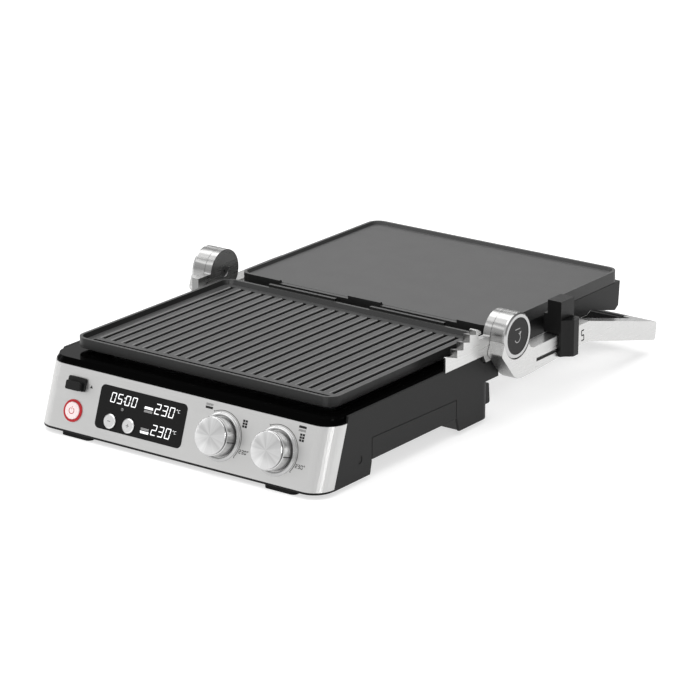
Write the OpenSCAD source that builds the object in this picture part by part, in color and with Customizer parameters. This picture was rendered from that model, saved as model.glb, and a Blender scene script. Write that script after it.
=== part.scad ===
// Contact grill (panini press) opened flat: a base with a grooved plate, and a lid with a flat plate
// that hangs in a U-shaped handle frame. Closing the frame by 180 degrees lays the lid on the base.
// Millimetres, +Z up. Seen from the front, +X is right and +Y is back.
// Each sub-part is drawn in a workshop frame: X = 0 on the mid plane of the base, Y = 0 at the
// bottom front edge of the front panel, Z = 0 on the worktop. place() moves it to the part's origin.

/* [Base] */
// Width of the base
base_w = 338; // [334:1:340]
// Depth of the base at the bottom
base_d = 277; // [275:1:280]
// Height of the top of the side walls
side_top = 70.5; // [70:0.5:71]
// Height of the steel front panel's lower edge
panel_z = 6.5; // [6:0.5:7]
// Slant height of the front panel
panel_h = 61; // [60:0.5:62]
// Backward lean of the front panel, in degrees
panel_lean = 19; // [18:0.5:20]
// Radius of the front corners
corner_r = 20; // [18:1:22]
// Wall thickness of the moulded housings
wall = 2.5; // [2:0.1:3]

/* [Cooking plates] */
// Width of a cooking plate
plate_w = 306; // [300:1:308]
// Depth of a cooking plate
plate_d = 237; // [234:1:238]
// Front edge of the lower plate
plate_front = 41; // [40:0.5:42]
// Top of the lower plate's rim
rim_top = 84.8; // [84:0.1:85]
// Height of a plate's rim wall
rim_h = 9.8; // [9:0.1:11]
// Depth of the lid's plate
lid_plate_d = 238; // [236:1:240]
// Height of the lid plate's rim wall
lid_rim_h = 12; // [11:0.5:12.5]
// Number of grooves in the lower plate
groove_count = 22; // [18:1:24]
// Distance between the first and the last groove
groove_span = 272; // [264:1:276]
// Width of a groove
groove_w = 4.4; // [4:0.1:5]

/* [Hinge and frame] */
// Hinge axis, from the front of the base
hinge_y = 290; // [289:0.5:291]
// Hinge axis, above the worktop
hinge_z = 86; // [85.5:0.5:86.5]
// Radius of the hinge barrels
barrel_r = 22.9; // [22:0.1:23]
// Outer face of the frame arms, from the mid plane
arm_out = 190; // [189:0.5:191]
// Thickness of a frame arm
arm_t = 16.6; // [16:0.1:16.8]
// Thickness of the fixed hinge brackets
bracket_t = 8; // [7:0.5:8]
// Radius of the hinge pins
pin_r = 6; // [5:0.5:7]
// Lid pivot, from the front of the base
pivot_y = 418; // [416:0.5:420]
// Lid pivot, above the worktop
pivot_z = 57; // [56:0.5:58]
// Far end of the handle
handle_end = 550; // [548:1:552]

/* [Controls] */
// Radius of the temperature knobs
knob_r = 18.2; // [17:0.1:19]
// Height of a knob above the panel
knob_h = 16; // [14:0.5:17]
// Left knob across the panel
knob_x1 = 47.5; // [46:0.5:49]
// Right knob across the panel
knob_x2 = 112; // [110:0.5:113]
// Knob height up the panel's slope
knob_s = 30; // [29:0.5:31]
// Travel of the height selector along the arm
selector_travel = 38; // [30:1:40]

/* [Hidden] */

gap = 0.4;                                   // free gap between pieces that move past each other
running = 0.06;                              // radial clearance of a shaft in its bore
half_w = base_w / 2;
lean_sin = sin(panel_lean);
lean_cos = cos(panel_lean);
panel_top_y = panel_h * lean_sin;
panel_top_z = panel_z + panel_h * lean_cos;
foot_z = 4.5;                                // underside of the base, above the feet
steel_t = 1;                                 // sheet thickness of the front panel
fork_bottom = 18.4;                          // top of the arch between the side legs
plate_back = plate_front + plate_d;
plate_mid = plate_front + plate_d / 2;
plate_gap = 1.4;                             // gap between the closed plates' rims
lid_front = 2 * hinge_y - plate_back - 4;    // near edge of the open lid's plate
lid_mid = lid_front + lid_plate_d / 2;
lid_rim_top = 2 * hinge_z - rim_top - plate_gap;
arm_in = arm_out - arm_t;
bracket_out = arm_in - gap;
bracket_in = bracket_out - bracket_t;
cap_r = 18;                                  // round caps in the hinge barrels
cap_depth = 6.5;                             // depth of the recess that holds a cap
ring_t = 3;                                  // bright ring on the end of each barrel
selector_y = 361.5;                          // near face of the height selector
selector_d = 23.5;
selector_top = 102;
selector_plate = 3;                          // how far its outer plate stands out of the arm
selector_tip = 12.2;                         // how far its finger grip stands out of the arm
slot_z = 53;                                 // centre height of the arm's guide slot
slot_h = 3.6;
arm_top = 67;                                // top of the arm beside the selector
button_x = [-80.5, -58];                     // minus and plus buttons across the panel
button_s = 18.5;
power_x = -126.5;
power_s = 19.5;
lever_x = -127;
lever_s = 45.5;
lever_travel = 3.5;
// Where the panel's side returns end, at the bottom
return_y = (corner_r + 0.5) / lean_cos + (foot_z - panel_z) * tan(panel_lean) + 0.3;
// Foremost point of a knob
front_reach = (knob_s - knob_r + 1) * lean_sin - knob_h * lean_cos;
origin_x = selector_tip / 2;
origin_y = (handle_end + front_reach) / 2;

// ---- helpers -------------------------------------------------------------------------------

// From the workshop frame to the part's frame
module place() translate([-origin_x, -origin_y, 0]) children();

// Flat outline with rounded corners, centred
module round_rect(w, d, r) offset(r = r, $fn = 48) square([w - 2 * r, d - 2 * r], center = true);

// Block with rounded upright edges, between two heights
module slab(w, y0, y1, z0, z1, r)
    translate([0, (y0 + y1) / 2, z0]) linear_extrude(z1 - z0) round_rect(w, y1 - y0, r);

// Plain block between two corners
module block(a, b) translate(a) cube(b - a);

// Outline in the YZ plane, extruded from x0 to x1
module side_shape(x0, x1) translate([x0, 0, 0]) rotate([90, 0, 90]) linear_extrude(x1 - x0) children();

// Round bar along X between x0 and x1
module bar_x(x0, x1, y, z, r) translate([x0, y, z]) rotate([0, 90, 0]) cylinder(h = x1 - x0, r = r, $fn = 64);

// A place on the front panel: X across, Y up the slope, Z outward
module on_panel(x, s)
    translate([x, s * lean_sin, panel_z + s * lean_cos]) rotate([90 - panel_lean, 0, 0]) children();

// Upright shape that leans with the front panel, cut off level between two heights
module leaning(z0, z1) intersection() {
    translate([0, 0, panel_z]) rotate([-panel_lean, 0, 0])
        translate([0, 0, -20]) linear_extrude(panel_h + 40) children();
    block([-half_w - 1, -20, z0], [half_w + 1, 120, z1]);
}

// Front outline of the base, seen along the lean, up to the panel's side returns
module front_outline(inset) intersection() {
    translate([0, 100]) round_rect(base_w - 2 * inset, 200 - 2 * inset, corner_r - inset);
    translate([-half_w, 0]) square([base_w, corner_r + 0.5]);
}

// Left and right copies
module both_sides() { children(); mirror([1, 0, 0]) children(); }

// Round the outward corners of an outline
module softened(r) offset(r = r, $fn = 40) offset(delta = -r) children();

// ---- base casings --------------------------------------------------------------------------

leg_x = 159;                                 // inner face of a bracket's leg
leg_screw_y = [269, 280];
leg_screw_z = 52;
pan_screw_x = 150;
pan_screw_y = [52, 245];
reflector_z = 54;                            // underside of the lower reflector
post_x = 129;                                // posts of the bottom tray that hold the lower reflector
rear_chamfer = [[254, side_top], [258, 66], [268, 57], [272, 48], [base_d, foot_z]];

// Side view of the base: legs, the arch between them and the rounded rear shoulder
module base_side() polygon(concat(
    [[return_y, foot_z], [return_y + (side_top - foot_z) * tan(panel_lean), side_top]], rear_chamfer,
    [[223, foot_z], [219, fork_bottom], [80.5, fork_bottom], [77.5, foot_z]]));

module base_housing() color("#3a3a3b") place() {
    base_shell();
    // bosses that take the screws of the bottom tray
    both_sides() for (y = pan_screw_y) difference() {
        block([144, y - 5, foot_z + 1.9], [half_w - wall + 0.1, y + 5, 17]);
        translate([pan_screw_x, y, 0]) cylinder(h = 15, r = 2.1, $fn = 32);
    }
}

// Outer shell of the base with the blocks that carry the hinge brackets
module base_shell() difference() {
    union() {
        intersection() {
            slab(base_w, -20, base_d, foot_z, side_top, 14);
            side_shape(-half_w, half_w) base_side();
        }
        both_sides() block([148, 262, 42], [half_w, 289, 61]);
    }
    // hollow inside, open at the front, top and bottom
    intersection() {
        slab(base_w - 2 * wall, -60, base_d - 3, 0, 100, 12);
        side_shape(-half_w, half_w) polygon([[-60, -5], [-60, 100], [250, 100], [250, 66.5], [254.5, 63],
            [264.5, 54], [268.5, 47], [273, -5]]);
    }
    // pockets, slots and screw holes for the legs of the hinge brackets
    both_sides() {
        block([150.5, 258, 44.5], [half_w - wall, 286, 58.5]);
        block([leg_x - 0.5, 263.5, 55], [bracket_in + 0.6, 285.5, 62]);
        for (y = leg_screw_y) bar_x(leg_x, 168.2, y, leg_screw_z, 2.1);
    }
    // way out for the drip tray, and the cord's hole
    block([-122, base_d - 20, 21.2], [122, base_d + 20, 38.5]);
    translate([-140, base_d - 20, 30]) rotate([-90, 0, 0]) cylinder(h = 40, r = 6.5, $fn = 48);
    // seam of the side cover
    both_sides() side_shape(half_w - 0.5, half_w + 1) difference() {
        polygon([[80, 17], [80, 40], [218, 37.5], [218, 17]]);
        offset(delta = -0.8) polygon([[80, 10], [80, 40], [218, 37.5], [218, 10]]);
    }
    // moulded plug mark on each side
    both_sides() bar_x(half_w - 0.5, half_w + 1, 61, 23.5, 4);
}

// Bottom tray, folded to follow the legs and the arch
module base_pan() color("#2b2b2c") place() {
    low = foot_z + 0.4;
    high = fork_bottom + 0.4;
    t = 1.4;
    for (x = [-post_x, post_x], y = [90, 205])
        translate([x, y, high + 0.1]) cylinder(h = reflector_z - 0.15 - high, r = 4, $fn = 40);
    difference() {
        union() {
            side_shape(-half_w + wall + 0.2, half_w - wall - 0.2) polygon([
                [27, low], [77, low], [80, high], [219.5, high], [223.5, low], [base_d - 9, low],
                [base_d - 9, low + t], [224.6, low + t], [220.6, high + t], [78.9, high + t],
                [75.9, low + t], [27, low + t]]);
            block([-148, 8, low], [148, 27.1, low + t]);
        }
        for (x = [-100 : 20 : 100]) block([x - 3, 100, 0], [x + 3, 200, 40]);   // air slots
        for (x = [-pan_screw_x, pan_screw_x], y = pan_screw_y)
            translate([x, y, 0]) cylinder(h = 12, r = 2.1, $fn = 32);
    }
}

module pan_screws() color("silver") place()
    for (x = [-pan_screw_x, pan_screw_x], y = pan_screw_y) translate([x, y, foot_z + 0.1]) {
        cylinder(h = 0.3, r = 3.6, $fn = 32);
        cylinder(h = 9, r = 2, $fn = 32);
    }

module foot(x, y, w, d, h) translate([x, y, 0]) linear_extrude(h) round_rect(w, d, 5);

module front_feet() color("#161616") place() for (x = [-121, 121]) {
    foot(x, 13, 36, 22, foot_z);
    block([x - 13, 9, foot_z - 0.1], [x + 13, 22, foot_z + 0.4]);
}

module rear_feet() color("#161616") place() for (x = [-140, 140]) foot(x, 263.4, 30, 16.2, foot_z + 0.4);

// Outer face of the rear wall at a height
function rear_wall_y(z) = base_d - (z - foot_z) * 5 / (48 - foot_z);

// Stand-offs that keep the rear clear of a wall
module rear_spacers() color("#1a1a1a") place() both_sides()
    side_shape(150, half_w - 8) softened(2) polygon([[rear_wall_y(37) + 0.1, 37], [base_d + 8, 34.5],
        [base_d + 9.8, 14], [rear_wall_y(14) + 0.1, 14]]);

module cord_inlet() color("#161616") place() translate([-140, base_d - 10, 30]) rotate([-90, 0, 0])
    difference() {
        union() {
            cylinder(h = 8.4, r = 6.3, $fn = 48);
            translate([0, 0, 8.3]) cylinder(h = 3, r = 9, $fn = 48);
        }
        translate([0, 0, -1]) cylinder(h = 20, r = 3.6, $fn = 48);
    }

// Black moulding behind and under the steel panel
module front_carrier() color("#121212") place() difference() {
    union() {
        leaning(foot_z, panel_top_z) difference() {
            front_outline(steel_t + 0.1);
            front_outline(steel_t + 3);
        }
        leaning(foot_z, panel_z - 0.1) difference() {
            front_outline(0.4);
            front_outline(steel_t + 3);
        }
    }
    panel_cutouts(0.3);
}

// The holes that the controls need, each a little larger by clear
module panel_cutouts(clear) {
    on_panel(-46.3, 30.5) translate([0, 0, -20]) linear_extrude(40) round_rect(104 + clear, 42 + clear, 5);
    on_panel(power_x, power_s) translate([0, 0, -20]) cylinder(h = 40, r = 10.9 + clear, $fn = 64);
    on_panel(lever_x, lever_s) block([-6, -1.8 - lever_travel, -12], [6, 1.6, 12]);
    for (x = [knob_x1, knob_x2]) on_panel(x, knob_s) translate([0, 0, -20]) cylinder(h = 40, r = 8, $fn = 64);
}

module front_panel() color("#c9c9c7") place() difference() {
    leaning(panel_z, panel_top_z) difference() {
        front_outline(0);
        front_outline(steel_t);
    }
    panel_cutouts(0);
}

// Glossy deck round the lower plate, with a bevelled front edge
module top_surround() color("#050505") place() difference() {
    union() {
        // across the front it reaches out over the steel panel's corners
        deck(base_w, 1, 41.2);
        deck(base_w - 2 * wall - 0.6, 0, 249.7);
    }
    slab(292, 50, 280, 0, 100, 10);
}

// Bevelled slab up to y1; side says how much of the bevel its sides take
module deck(w, side, y1) hull() {
    deck_slice(w, side, 1.2, panel_top_z + 0.1, y1);
    deck_slice(w, side, 1.2, panel_top_z + 1.1, y1);
    deck_slice(w, side, 3.4, side_top - 0.6, y1);
}

// One level of the deck, inset from the base's outline
module deck_slice(w, side, inset, z, y1) translate([0, 0, z]) linear_extrude(0.5) intersection() {
    translate([0, (panel_top_y + 272 + inset) / 2])
        round_rect(w - 2 * side * inset, 272 - panel_top_y - inset, corner_r - 2);
    translate([-half_w, 0]) square([base_w, y1]);
}

// ---- cooking plates ------------------------------------------------------------------------

lower_floor = 4.5;                           // floor thickness of the grooved plate
upper_floor = 3.2;
lower_pocket = 4.4;                          // depth of the cooking surface below the rim
upper_pocket = 3;

// Cast tray: rim wall and shallow pocket, hollow underneath for the heater
module plate_casting(y0, y1, top, rim, pocket, floor) difference() {
    slab(plate_w, y0, y1, top - rim, top, 13);
    hull() {
        slab(plate_w - 6, y0 + 3, y1 - 3, top, top + 1, 10);
        slab(plate_w - 10, y0 + 5, y1 - 5, top - pocket, top - pocket + 1, 8);
    }
    slab(plate_w - 14, y0 + 7, y1 - 7, top - rim - 1, top - pocket - floor, 7);
}

groove_depth = 3;
groove_front = 63;
groove_back = 266;
catch_x = [[-100, -18], [24, 112]];          // raised catches along the lower plate's rear edge

// Narrow groove with rounded shoulders; Y points down into the plate
module groove_section() polygon([
    [-groove_w / 2 - 1.5, -1], [-groove_w / 2 - 1.4, 0], [-groove_w / 2, 0.5], [-groove_w / 2 + 0.7, 1.3],
    [-groove_w / 2 + 0.9, groove_depth], [groove_w / 2 - 0.9, groove_depth], [groove_w / 2 - 0.7, 1.3],
    [groove_w / 2, 0.5], [groove_w / 2 + 1.4, 0], [groove_w / 2 + 1.5, -1]]);

module lower_plate() color("#4a4a4a") place() {
    pitch = groove_span / (groove_count - 1);
    difference() {
        plate_casting(plate_front, plate_back, rim_top, rim_h, lower_pocket, lower_floor);
        for (i = [0 : groove_count - 1]) {
            x = -groove_span / 2 + i * pitch;
            translate([x, groove_front, rim_top - lower_pocket]) rotate([-90, 0, 0])
                linear_extrude(groove_back - groove_front) groove_section();
        }
        // channel that drains the fat at the front
        slab(groove_span + 10, 52, 57, rim_top - 6.5, rim_top, 2.4);
    }
    for (c = catch_x)
        block([c[0], plate_back - 0.1, rim_top - 7], [c[1], plate_back + 3.4, rim_top + 2.4]);
    // tab that the release tongue holds
    difference() {
        block([lever_x - 8, 50.8, 53], [lever_x + 8, 53.2, rim_top - lower_pocket - 2]);
        block([lever_x - 5, 50, 55], [lever_x + 5, 54, 63.5]);
    }
}

module upper_plate() color("#5a5a5a") place() difference() {
    plate_casting(lid_front, lid_front + lid_plate_d, lid_rim_top, lid_rim_h, upper_pocket, upper_floor);
    // notches that clear the lower plate's catches when the lid is closed
    for (c = catch_x)
        block([c[0] - 1.5, lid_front - 1, lid_rim_top - 3.2], [c[1] + 1.5, lid_front + 5, lid_rim_top + 1]);
}

heater_h = 6;

// Flat element bent into a racetrack, with its two terminals
module heater(mid, z) {
    translate([0, mid, z]) linear_extrude(heater_h) {
        difference() { round_rect(236, 150, 60); round_rect(224, 138, 54); }
        for (y = [-14, 14]) translate([112, y - 3]) square([24, 6]);
    }
}

module lower_heater() color("#8c8c8c") place() difference() {
    heater(plate_mid, rim_top - lower_pocket - lower_floor - heater_h);
    block([110, plate_mid - 11, 60], [120, plate_mid + 11, 80]);
}

module upper_heater() color("#8c8c8c") place() difference() {
    heater(lid_mid, lid_rim_top - upper_pocket - upper_floor - heater_h);
    block([110, lid_mid - 11, 60], [120, lid_mid + 11, 80]);
}

// Thin pan that throws the heat back at the plate
module reflector(mid, half_d, z, h) difference() {
    slab(284, mid - half_d, mid + half_d, z, z + h, 8);
    slab(282, mid - half_d + 1, mid + half_d - 1, z + 1, z + h + 1, 7);
}

module lower_reflector() color("#b8b8b8") place() reflector(151.8, 97, reflector_z, 21.8);

module upper_reflector() color("#b8b8b8") place() reflector(lid_mid - 10, 84, 54.2, 9);

module thermostat(mid, z) translate([0, mid, z]) {
    cylinder(h = 7, r = 8, $fn = 48);
    for (y = [-13, 13]) translate([-3, y - 3, 0]) cube([6, 6, 1.5]);
    translate([-3, -15, 0]) cube([6, 30, 1]);
}

module lower_thermostat() color("#d8d0c0") place() thermostat(plate_mid, 68.6);

module upper_thermostat() color("#d8d0c0") place() thermostat(lid_mid, 72.5);

// ---- electronics ---------------------------------------------------------------------------

module display_window() color("#0b0b0c") place() on_panel(-46.3, 30.5) difference() {
    translate([0, 0, -2.6]) linear_extrude(2.9) round_rect(103.7, 41.7, 4.9);
    for (x = button_x) translate([x + 46.3, button_s - 30.5, -5]) cylinder(h = 10, r = 7.3, $fn = 64);
}

module display_board() color("#1c5a38") place() on_panel(-46.3, 30.5) {
    translate([-46, -18, -9.8]) cube([92, 36, 1.6]);
    translate([-38, -2, -8.2]) cube([80, 19, 5]);
    for (x = button_x) translate([x + 46.3 - 3, button_s - 30.5 - 3, -8.2]) cube([6, 6, 2]);
}

module control_board() color("#1c5a38") place() on_panel(78, 30) translate([-62, -17, -26.5]) {
    cube([124, 40, 1.6]);
    for (x = [8, 44, 96]) translate([x, 24, 1.6]) cube([18, 12, 4]);
}

module power_board() color("#8a6d3b") place() {
    translate([-163, 70, 24]) cube([24, 130, 1.6]);
    translate([-161, 80, 25.6]) cube([20, 30, 20]);
    for (y = [125, 150, 175]) translate([-151, y, 25.6]) cylinder(h = 12, r = 6, $fn = 40);
}

module encoder(x) place() on_panel(x, knob_s) difference() {
    union() {
        translate([-9, -9, -20.5]) cube([18, 18, 7]);
        translate([0, 0, -13.6]) cylinder(h = 9.2, r = 5.2, $fn = 48);
    }
    translate([0, 0, -19]) cylinder(h = 20, r = 3 + running, $fn = 48);
}

module left_encoder() color("#5c5c5c") encoder(knob_x1);

module right_encoder() color("#5c5c5c") encoder(knob_x2);

// ---- controls ------------------------------------------------------------------------------

module knob_bezel(x) place() on_panel(x, knob_s) difference() {
    union() {
        translate([0, 0, 0.05]) cylinder(h = 0.9, r = 23, $fn = 96);
        translate([0, 0, 0.95]) cylinder(h = 0.9, r1 = 22.4, r2 = 21.6, $fn = 96);
        translate([0, 0, -1.05]) cylinder(h = 1.2, r = 7.9, $fn = 64);
    }
    translate([0, 0, 0.6]) cylinder(h = 2, r = 19.4, $fn = 96);
    translate([0, 0, -2]) cylinder(h = 4, r = 5.6, $fn = 64);
}

module left_knob_bezel() color("#d6d6d6") knob_bezel(knob_x1);

module right_knob_bezel() color("#d6d6d6") knob_bezel(knob_x2);

module knob(x) place() on_panel(x, knob_s) difference() {
    union() {
        translate([0, 0, 1.2]) cylinder(h = knob_h - 4.2, r = knob_r, $fn = 96);
        translate([0, 0, knob_h - 3]) cylinder(h = 1.8, r = knob_r - 1.2, $fn = 96);
        translate([0, 0, knob_h - 1.2]) cylinder(h = 1.2, r1 = knob_r - 0.2, r2 = knob_r - 1, $fn = 96);
    }
    cylinder(h = knob_h - 4, r = 3, $fn = 48);
    translate([0, 0, 1]) difference() {
        cylinder(h = knob_h - 6, r = knob_r - 2, $fn = 96);
        cylinder(h = knob_h - 6, r = 6, $fn = 48);
    }
    // pointer line cut into the rim
    translate([knob_r - 0.5, -0.5, 1]) cube([1, 1, knob_h - 4.5]);
}

module left_knob() color("#cfcfcd") knob(knob_x1);

module right_knob() color("#cfcfcd") knob(knob_x2);

module knob_shaft(x) place() on_panel(x, knob_s) translate([0, 0, -18.5])
    cylinder(h = knob_h + 14.4, r = 2.98, $fn = 48);

module left_knob_shaft() color("#9a9a9a") knob_shaft(knob_x1);

module right_knob_shaft() color("#9a9a9a") knob_shaft(knob_x2);

module power_light_ring() color("#c8202c") place() on_panel(power_x, power_s) difference() {
    translate([0, 0, -4]) cylinder(h = 5, r = 10.8, $fn = 96);
    translate([0, 0, -5]) cylinder(h = 8, r = 8.6, $fn = 96);
}

module power_button() color("#dcdcda") place() on_panel(power_x, power_s) {
    translate([0, 0, -4]) cylinder(h = 5.6, r = 8.3, $fn = 96);
    translate([0, 0, 1.6]) cylinder(h = 0.8, r1 = 8.3, r2 = 7.5, $fn = 96);
    translate([0, 0, -6]) cylinder(h = 2.1, r = 2.4, $fn = 32);
}

module round_button(i) place() on_panel(button_x[i], button_s) {
    translate([0, 0, -2.4]) cylinder(h = 3.8, r = 7, $fn = 64);
    translate([0, 0, 1.4]) cylinder(h = 0.9, r1 = 7, r2 = 6, $fn = 64);
    translate([0, 0, -4.4]) cylinder(h = 2.1, r = 1.6, $fn = 32);
}

module minus_button() color("#dcdcda") round_button(0);

module plus_button() color("#dcdcda") round_button(1);

// Spring rings behind the three push buttons
module button_springs() color("silver") place() {
    on_panel(power_x, power_s) translate([0, 0, -10]) spring(3.6, 4);
    for (x = button_x) on_panel(x, button_s) translate([0, 0, -6.2]) spring(2.6, 1.8);
}

// Short coil, drawn as stacked rings joined by a thin sleeve
module spring(r, h) {
    turns = max(2, round(h / 1.6));
    difference() {
        union() {
            cylinder(h = h, r = r - 0.2, $fn = 40);
            for (i = [0 : turns - 1])
                translate([0, 0, i * (h - 0.7) / (turns - 1)]) cylinder(h = 0.7, r = r, $fn = 40);
        }
        translate([0, 0, -1]) cylinder(h = h + 2, r = r - 0.7, $fn = 40);
    }
}

// Lever that frees the lower plate: a base pad, a thumb block and a stem through the panel
module plate_release() color("#161616") place() on_panel(lever_x, lever_s) {
    translate([0, 0, 0.4]) linear_extrude(2.2) round_rect(20.5, 13, 2);
    translate([0, -2.2, 2]) linear_extrude(5.6) round_rect(17, 8.6, 1.6);
    block([-5, -1.6, -14], [5, 1.2, 0.5]);
}

// Steel tongue that grips the plate's rim, carried by the release lever
module plate_latch() color("#b0b0b0") place() {
    on_panel(lever_x, lever_s) block([-4, -1.6, -15.8], [4, 18, -14.1]);
    block([lever_x - 4, 34, 60.6], [lever_x + 4, 51.8, 62.2]);
}

module latch_spring() color("silver") place() on_panel(lever_x, lever_s) rotate([90, 0, 0])
    translate([0, -10, 5.6]) spring(3, 9);

// Drawer that catches the fat, reached from the rear
module drip_tray() color("#1e1e1e") place() {
    difference() {
        slab(240, 66, base_d + 1, 22, 37.5, 5);
        slab(236, 68, base_d - 4, 24, 40, 4);
    }
    block([-60, base_d + 0.9, 24], [60, base_d + 8, 27]);
}

// ---- hinge brackets ------------------------------------------------------------------------

rack_front = 192.5;                          // front edge of the height rack
rack_foot = side_top + 1.1;                  // its lower edge, just above the side wall
rack_y = 211.8;                              // first riser
rack_z = 81.4;                               // foot of the first riser
rack_pitch = 10.45;
rack_rise = 4.95;
rack_tooth = 7.5;                            // height of a riser; each tread dips towards the next one

rack_steps = [for (i = [0 : 2], up = [0, rack_tooth]) [rack_y + i * rack_pitch, rack_z + i * rack_rise + up]];

// Four steps, a hook, and the web that joins the hinge barrel
module rack_outline() polygon(concat(
    [[256.5, rack_foot], [rack_front, rack_foot], [rack_front, 86.6], [194, 87]], rack_steps,
    [[rack_y + 3 * rack_pitch, rack_z + 3 * rack_rise], [243.2, 100.2], [246, 100.5], [251, 97.6], [252, 95],
     [249.5, 94.6], [247.4, 95.2], [246.8, 90.2], [266.7, 88.4], [280, 80], [269, tab_z], [260.8, tab_z]]));

tab_z = 64;                                  // lower edge of a bracket's rear tab

// Bracket body shared by both sides: barrel, web, and the leg inside the hinge block
module bracket_core() {
    side_shape(bracket_in, bracket_out) {
        translate([hinge_y, hinge_z]) circle(r = barrel_r, $fn = 96);
        polygon([[247, rack_foot], [247, 88.5], [266.7, 88.4], [280, 104], [297, 66],
            [269, tab_z], [260.8, tab_z], [256.5, rack_foot]]);
    }
    block([leg_x, 264, 58.3], [bracket_in + 0.1, 285, 76]);
    block([leg_x, 264, 45], [half_w - wall - 0.1, 285, 58.4]);
}

module bracket_bore() {
    bar_x(bracket_in - 1, bracket_out + 1, hinge_y, hinge_z, pin_r);
    for (y = leg_screw_y) bar_x(leg_x - 1, half_w, y, leg_screw_z, 2.1);
}

module left_bracket() color("#bdbdbb") place() mirror([1, 0, 0]) difference() {
    bracket_core();
    bracket_bore();
}

module right_bracket() color("#bdbdbb") place() difference() {
    union() { bracket_core(); side_shape(bracket_in, bracket_out) rack_outline(); }
    bracket_bore();
    // below the teeth and in front of them only the outer sheet is left
    block([bracket_in - 1, rack_front - 1, rack_foot - 1], [bracket_out - 2, 204.5, 90]);
    block([bracket_in - 1, rack_front - 1, rack_foot - 1], [bracket_out - 2, 246, 79.5]);
}

module bracket_screws() color("silver") place() both_sides() for (y = leg_screw_y) {
    bar_x(leg_x - 0.1, 168, y, leg_screw_z, 2);
    bar_x(leg_x - 1.6, leg_x, y, leg_screw_z, 3.6);
}

module hinge_pin() difference() {
    bar_x(bracket_in + 0.6, arm_out - cap_depth - 0.2, hinge_y, hinge_z, pin_r - 0.01);
    bar_x(bracket_in, bracket_in + 4, hinge_y, hinge_z, 1.6);   // small screw hole in its end
}

module left_hinge_pin() color("#a8a8a8") place() mirror([1, 0, 0]) hinge_pin();

module right_hinge_pin() color("#a8a8a8") place() hinge_pin();

// ---- handle frame --------------------------------------------------------------------------

// Side view of an arm without its barrel
module arm_outline() softened(3.5) polygon([
    [267.4, 86], [266.8, 82], [262.6, 71.5], [273, 59.6], [284, 47], [290, 43], [297, 41.8], [313, 42],
    [402, 47], [419, 46.5], [handle_end - 2.8, 13.8], [handle_end, 33.2], [419, 67.6], [402, 67.8],
    [318, arm_top], [313, 69], [309, 74], [300, 86], [280, 86]]);

// Crossbar section, shared by the arm ends and the grip
module bar_section() softened(2.5) polygon([
    [handle_end - 16, 17.3], [handle_end - 2.8, 13.8], [handle_end, 33.2], [handle_end - 13.4, 36.7]]);

grip_half = 158;                             // half length of the black grip
arm_skin = 3;                                // wall thickness of the hollow arms
core_y = handle_end - 7.8;                   // tube inside the grip
core_z = 25.3;

module arm_solid() difference() {
    union() {
        difference() {
            side_shape(arm_in, arm_out) arm_outline();
            // lightened from the inner face
            side_shape(arm_in - 1, arm_out - arm_skin) difference() {
                offset(delta = -arm_skin) arm_outline();
                translate([hinge_y, hinge_z]) circle(r = barrel_r, $fn = 96);
                translate([pivot_y, pivot_z]) circle(r = 8, $fn = 64);
                translate([handle_end - 20, 0]) square(60);
            }
        }
        bar_x(arm_in, arm_out - ring_t, hinge_y, hinge_z, barrel_r);
        side_shape(grip_half + 0.2, arm_in + 0.5) bar_section();
    }
    bar_x(arm_in - 1, arm_out + 1, hinge_y, hinge_z, pin_r + running);
    bar_x(arm_out - cap_depth, arm_out + 1, hinge_y, hinge_z, cap_r + 0.35);
    bar_x(arm_out - ring_t, arm_out + 1, hinge_y, hinge_z, barrel_r + 0.05);
    bar_x(arm_in - 1, arm_in + 8, pivot_y, pivot_z, 4.01);
    bar_x(grip_half, grip_half + 8, core_y, core_z, 4.02);
}

module left_arm() color("#c4c4c2") place() mirror([1, 0, 0]) arm_solid();

// The right arm has the selector's guide slot
module right_arm() color("#c4c4c2") place() difference() {
    arm_solid();
    slot_y0 = selector_y - selector_travel;
    block([arm_out - 9, slot_y0, slot_z - slot_h / 2],
        [arm_out + 1, selector_y + selector_d + 2, slot_z + slot_h / 2]);
}

module handle_core() color("#9c9c9c") place() difference() {
    bar_x(-grip_half - 7.5, grip_half + 7.5, core_y, core_z, 4);
    bar_x(-grip_half - 8, grip_half + 8, core_y, core_z, 2.6);
}

// Section of the grip: a shell round the tube
module grip_outline() softened(1.5) union() {
    bar_section();
    polygon([[handle_end - 24, 22], [handle_end - 10, 15.6], [handle_end - 8, 34], [handle_end - 20, 36.5]]);
}

module handle_grip() color("#141414") place() difference() {
    side_shape(-grip_half, grip_half) grip_outline();
    side_shape(-grip_half - 1, grip_half + 1) difference() {
        offset(delta = -2.6) grip_outline();
        translate([core_y, core_z]) circle(r = 7, $fn = 64);
    }
    bar_x(-grip_half - 2, grip_half + 2, core_y, core_z, 4.05);
}

// Bright ring that finishes the outer end of a barrel
module hinge_ring() difference() {
    union() {
        bar_x(arm_out - ring_t, arm_out - 1.2, hinge_y, hinge_z, barrel_r);
        translate([arm_out - 1.2, hinge_y, hinge_z]) rotate([0, 90, 0])
            cylinder(h = 1.2, r1 = barrel_r, r2 = barrel_r - 1.6, $fn = 96);
    }
    bar_x(arm_out - 10, arm_out + 1, hinge_y, hinge_z, cap_r + 0.35);
}

module left_hinge_ring() color("#e2e2e2") place() mirror([1, 0, 0]) hinge_ring();

module right_hinge_ring() color("#e2e2e2") place() hinge_ring();

// Round cap in the mouth of a barrel
module barrel_cap() bar_x(arm_out - 3, arm_out - 0.4, hinge_y, hinge_z, cap_r);

module left_hinge_cap() color("#141414") place() mirror([1, 0, 0]) barrel_cap();

// Push button that lets the frame open past upright
module hinge_release() color("#141414") place() barrel_cap();

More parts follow.
